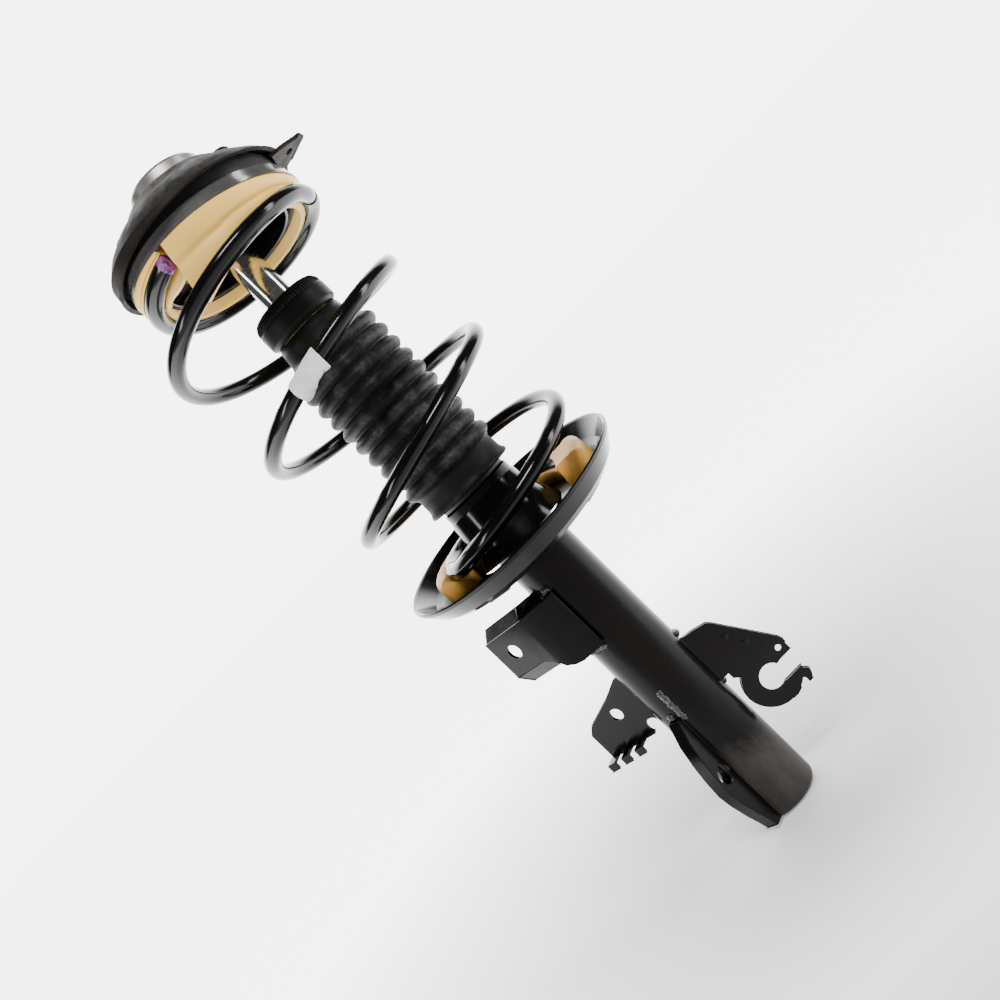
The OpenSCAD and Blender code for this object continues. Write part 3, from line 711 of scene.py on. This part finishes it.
def make_lower_insulator():
    """Orange insulator under the first half turn, with the stop block in front of the wire's end."""
    count, columns = 150, 12
    rings = []
    for j in range(count + 1):
        n = blend(LOW_START, LOW_STOP, j / count)
        grooved = n > BLOCK_END
        inner = coil_r(n) - (9 if grooved else 7)
        outer = 70.0 if grooved else 68.5
        top = 2.0 if grooved else 10.0
        reach = outer - coil_r(n)
        tuck = 1 - 0.05 * max(0, 1 - min(j, count - j) / 2)
        profile = [floor_point(n, inner), floor_point(n, outer)]
        profile += [coil_point(n, reach * tuck, -2.0), coil_point(n, reach - 1.2, top - 1.5),
                    coil_point(n, reach - 3.2, top)]
        profile += [coil_point(n, GROOVE_R + 3.0, top + 1.0), coil_point(n, GROOVE_R + 0.9, top + 0.7)]
        for i in range(columns + 1):
            share = i / columns
            if grooved:
                profile.append(wire_point(n, GROOVE_R, -math.pi * share))
            else:
                profile.append(coil_point(n, blend(GROOVE_R, -6.0, share), top + 0.5 - 0.8 * share ** 2))
        profile += [coil_point(n, inner - coil_r(n) + 0.6, 0.4), coil_point(n, inner - coil_r(n), -1.2)]
        rings.append(profile)
    body = swept("lower_insulator_strip", rings)
    return place(body, "damper", "insulator_orange", "insulator_orange", "lower_insulator")


# ------------------------------------------------------------------ welds

# height, first and last angle in degrees, bead radius
BEADS_AROUND = [(170.6, 203, 240, 2.3), (223.6, 226, 240, 2.1), (144.4, 140, 162, 2.2), (136.6, -14, 12, 2.4),
                (90.6, -14, 8, 2.2), (103, 221, 231, 2.2)]


def weld_bead(name, path, radius):
    """A lumpy run of weld along a list of points."""
    sides = 14
    rings = []
    for j, p in enumerate(path):
        before = path[max(0, j - 1)]
        after = path[min(len(path) - 1, j + 1)]
        along = (after - before).normalized()
        out = Vector((p.x, p.y, 0)).normalized()
        side = along.cross(out).normalized()
        end = min(j, len(path) - 1 - j) / 4
        lump = 1 + 0.3 * noise.noise(p * 0.9) + 0.16 * math.sin(j * 1.9)
        r = radius * lump * math.sqrt(max(0.04, 1 - (1 - min(1.0, end)) ** 2))
        centre = p + out * 0.35 * noise.noise(p * 0.5 + Vector((7, 0, 0)))
        ring = []
        for i in range(sides):
            a = 2 * math.pi * i / sides
            grain = 1 + 0.14 * noise.noise(p * 0.7 + Vector((i * 0.9, 0, 4)))
            ring.append(centre + (out * math.cos(a) + side * math.sin(a)) * r * grain)
        rings.append(ring)
    return swept(name, rings)


def tube_point(r, degrees, z):
    """Point at a radius and an angle round the tube's axis."""
    a = math.radians(degrees)
    return Vector((r * math.cos(a), r * math.sin(a), z))


def make_welds():
    """Beads round the tube at the brackets, and one upright run."""
    runs = []
    for z, start, stop, radius in BEADS_AROUND:
        count = max(10, int(abs(stop - start) * 1.1))
        path = [tube_point(TUBE_R + 0.2, blend(start, stop, j / count), z + 0.5 * math.sin(j * 0.8))
                for j in range(count + 1)]
        runs.append((path, radius))
    upright_angle, upright_foot, step = 243, 96, 0.72
    upright = [tube_point(TUBE_R - 0.3, upright_angle + 0.7 * math.sin(j * 0.55), upright_foot + j * step)
               for j in range(40)]
    runs.append((upright, 2.2))
    for i, (path, radius) in enumerate(runs):
        bead = weld_bead("weld_bead_%d" % (i + 1), path, radius)
        place(bead, "damper", "weld_metal", "weld_metal", *(["weld_beads"] if i == 0 else []))


# ------------------------------------------------------------------ boot

def boot_outline():
    """Outer and inner outline of the bellows, with rounded folds."""
    ridge, valley, wall = 37.0, 31.5, 1.5
    z0, z1, count = 323.0, 437.0, 10
    pitch = (z1 - z0) / count
    outer = [(33.2, BOOT_Z), (34.1, BOOT_Z + 0.5), (34.5, BOOT_Z + 1.6), (34.0, BOOT_Z + 2.8),
             (32.9, BOOT_Z + 4.4), (32.4, BOOT_Z + 7), (32.3, z0 - 5), (31.9, z0 - 1.5)]
    steps = 12
    for i in range(count):
        for s in range(steps):
            t = (s + 0.5) / steps
            fold = math.sin(math.pi * t) ** 0.62
            outer.append((valley + (ridge - valley) * fold, z0 + (i + t) * pitch))
    outer += [(31.6, z1 + 0.6), (30.2, z1 + 2), (28.2, z1 + 3.4), (27.2, z1 + 6), (26.4, z1 + 12),
              (25.4, BOOT_CAP_Z - 1)]
    inner = [(r - wall, z) for r, z in reversed(outer)]
    return outer + inner


def make_boot():
    """Bellows over the bump stop."""
    def wobble(r, z, a):
        return r + 0.25 * noise.noise(Vector((math.cos(a) * 1.5, math.sin(a) * 1.5, z * 0.05))), z

    boot = lathe("dust_boot_bellows", boot_outline(), 144, wobble=wobble)
    place(boot, "damper", "boot_rubber", "boot_rubber", "dust_boot")
    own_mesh(boot)


def make_boot_seat():
    """Rubber ring on the tube's end cap that keeps dirt out below the boot."""
    bore, low, high = ROD_R + 1.2, 303.05, 311.0
    outline = rounded([(bore, low), (26.3, low), (26.3, high - 2.0), (22.0, high), (bore, high)], 0.9)
    return place(lathe("tube_top_ring", outline, 96), "damper", "seal_rubber", "seal_rubber")


def make_boot_cap():
    """Cap over the boot's neck, with fine moulded ribs round its shoulder."""
    z, bore = BOOT_CAP_Z, ROD_R + 0.15
    outline = [(bore, 0.3), (25.0, 0.3), (27.9, 3.0), (28.0, 13.6), (27.2, 14.4), (27.6, 15.2), (27.5, 17.6),
               (25.2, 21.4), (21.2, 23.0), (ROD_R + 3.2, 23.0), (bore, 21.2)]
    outline = rounded([(r, z + up) for r, up in outline], 0.9)
    ribs = 72

    def wobble(r, height, a):
        rib = 0.5 + 0.5 * math.cos(ribs * a)
        on_band = ease((height - z - 14.6) / 0.6) * (1 - ease((height - z - 20.5) / 1.5))
        outside = ease((r - 23) / 2)
        return r - 0.55 * rib * on_band * outside, height

    cap = lathe("boot_cap_ribbed", outline, 432, wobble=wobble)
    return place(cap, "boot_top", "cap_plastic", "cap_plastic", "boot_cap")


# ------------------------------------------------------------------ pressed and turned parts

def softened(node, width):
    """A copy of a CAD node with its sharp edges rounded by a width in millimetres."""
    source = frame["nodes"][node]
    obj = bpy.data.objects.new(node + "_soft", source.data.copy())
    bpy.context.scene.collection.objects.link(obj)
    weld = obj.modifiers.new("weld", "WELD")
    weld.merge_threshold = 0.01 * MM
    flat = obj.modifiers.new("flat", "DECIMATE")
    flat.decimate_type = "DISSOLVE"
    flat.angle_limit = math.radians(1.2)
    edge = obj.modifiers.new("edge", "BEVEL")
    edge.width = width * MM
    edge.segments = 3
    edge.limit_method = "ANGLE"
    edge.angle_limit = math.radians(32)
    edge.use_clamp_overlap = False
    apply_modifiers(obj)
    obj.data.shade_smooth()
    dress(obj, SLOT_MATERIAL[NODE_SLOT[node]])
    normals = obj.modifiers.new("normals", "WEIGHTED_NORMAL")
    normals.keep_sharp = True
    apply_modifiers(obj)
    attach(obj, source["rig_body"])
    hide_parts(node)
    return obj


SOFT_EDGES = {"link_bracket": 0.5, "sensor_bracket": 0.5, "hose_bracket": 0.5, "locating_fin": 0.6,
              "mount_plate": 0.5}


# ------------------------------------------------------------------ light, floor, camera

def area_light(name, place_m, target_m, size, power):
    """A white rectangular light in metres and watts, turned towards a point."""
    light = bpy.data.lights.new(name, "AREA")
    light.shape = "RECTANGLE"
    light.size, light.size_y = size
    light.energy = power
    obj = bpy.data.objects.new(name, light)
    obj.location = place_m
    direction = Vector(target_m) - Vector(place_m)
    obj.rotation_euler = direction.to_track_quat("-Z", "Y").to_euler()
    bpy.context.scene.collection.objects.link(obj)
    return obj


WALL_GLOW = 6.2
ROOM_GLOW = 0.08
TABLE_GLOW = 4.5


def make_floor():
    """A large pale sheet like a lit table that shines as a lamp: dimmed near the strut into a painted soft
    shadow, brighter away from it, unlit far in front.
    """
    side = 40000
    corners = [(-side, -side, -0.3), (side, -side, -0.3), (side, side, -0.3), (-side, side, -0.3)]
    floor = mesh_object("studio_floor", corners, [(0, 1, 2, 3)])
    m = Maker("studio_floor")
    base = m.ramp(m.noise(2, 3), [(0.3, (0.80, 0.80, 0.80)), (0.7, (0.84, 0.84, 0.84))])
    m.finish(base, 0.75)
    split = m.add("ShaderNodeSeparateXYZ")
    m.link(m.coords, split.inputs[0])
    across = m.math("MULTIPLY", split.outputs["X"], split.outputs["X"])
    along = m.math("MULTIPLY", split.outputs["Y"], split.outputs["Y"])
    distance = m.math("SQRT", m.math("ADD", across, along), 0.0)
    # painted soft shadow: the floor's emission fades out near the strut
    near = m.spread(distance, 0.06, 1.0, 0.10, 0.75)
    front = m.spread(split.outputs["Y"], 0.0, 1.0, -0.33, -0.22)
    glow_with_painted_shadow = m.math("MULTIPLY", m.math("MULTIPLY", near, front), TABLE_GLOW)
    m.link(glow_with_painted_shadow, m.shader.inputs["Emission Strength"])
    m.shader.inputs["Emission Color"].default_value = (1, 1, 1, 1)
    floor.data.materials.append(m.mat)


def make_light():
    """A bright wall behind the strut, a dim room in front, a softbox overhead and two strips."""
    world = bpy.data.worlds.new("studio")
    bpy.context.scene.world = world
    world.use_nodes = True
    tree = world.node_tree
    tree.nodes["Background"].inputs["Color"].default_value = (1, 1, 1, 1)
    coords = tree.nodes.new("ShaderNodeTexCoord")
    split = tree.nodes.new("ShaderNodeSeparateXYZ")
    spread = tree.nodes.new("ShaderNodeMapRange")
    spread.interpolation_type = "SMOOTHSTEP"
    for key, value in (("From Min", 0.45), ("From Max", 0.80), ("To Min", ROOM_GLOW), ("To Max", WALL_GLOW)):
        spread.inputs[key].default_value = value
    tree.links.new(coords.outputs["Generated"], split.inputs[0])
    tree.links.new(split.outputs["Y"], spread.inputs["Value"])
    tree.links.new(spread.outputs["Result"], tree.nodes["Background"].inputs["Strength"])
    area_light("overhead", (0.30, -0.95, 1.55), (0, 0, 0.35), (0.6, 0.26), 21)
    area_light("left_strip", (-1.3, -0.7, 0.75), (0, 0, 0.3), (0.18, 0.8), 8)
    area_light("right_strip", (1.35, -0.35, 0.6), (0, 0, 0.3), (0.22, 1.0), 10)


def make_camera():
    """Camera level with the coils, a little right of the axis, rolled so the strut runs corner to corner."""
    eye = Vector((0.0065, -0.767, 0.347))
    aim = Vector((0.0065, 0.0, 0.285))
    forward = (aim - eye).normalized()
    right = Vector((1, 0, 0))
    up = right.cross(forward)
    roll = math.radians(45.7)
    image_right = right * math.cos(roll) - up * math.sin(roll)
    image_up = right * math.sin(roll) + up * math.cos(roll)
    data = bpy.data.cameras.new("camera")
    data.sensor_width = 36.0
    data.lens = 41.4
    camera = bpy.data.objects.new("camera", data)
    turn = Matrix((image_right, image_up, -forward)).transposed().to_4x4()
    camera.matrix_world = Matrix.Translation(eye) @ turn
    bpy.context.scene.collection.objects.link(camera)
    bpy.context.scene.camera = camera


dress_cad_nodes()
make_spring()
make_upper_insulator()
make_upper_insulator_tail()
make_upper_insulator_shade_liner()
make_lower_insulator()
make_inner_collars()
make_welds()
make_boot()
make_boot_seat()
make_boot_cap()
for node_name, edge_width in SOFT_EDGES.items():
    softened(node_name, edge_width)
make_floor()
make_light()
make_camera()
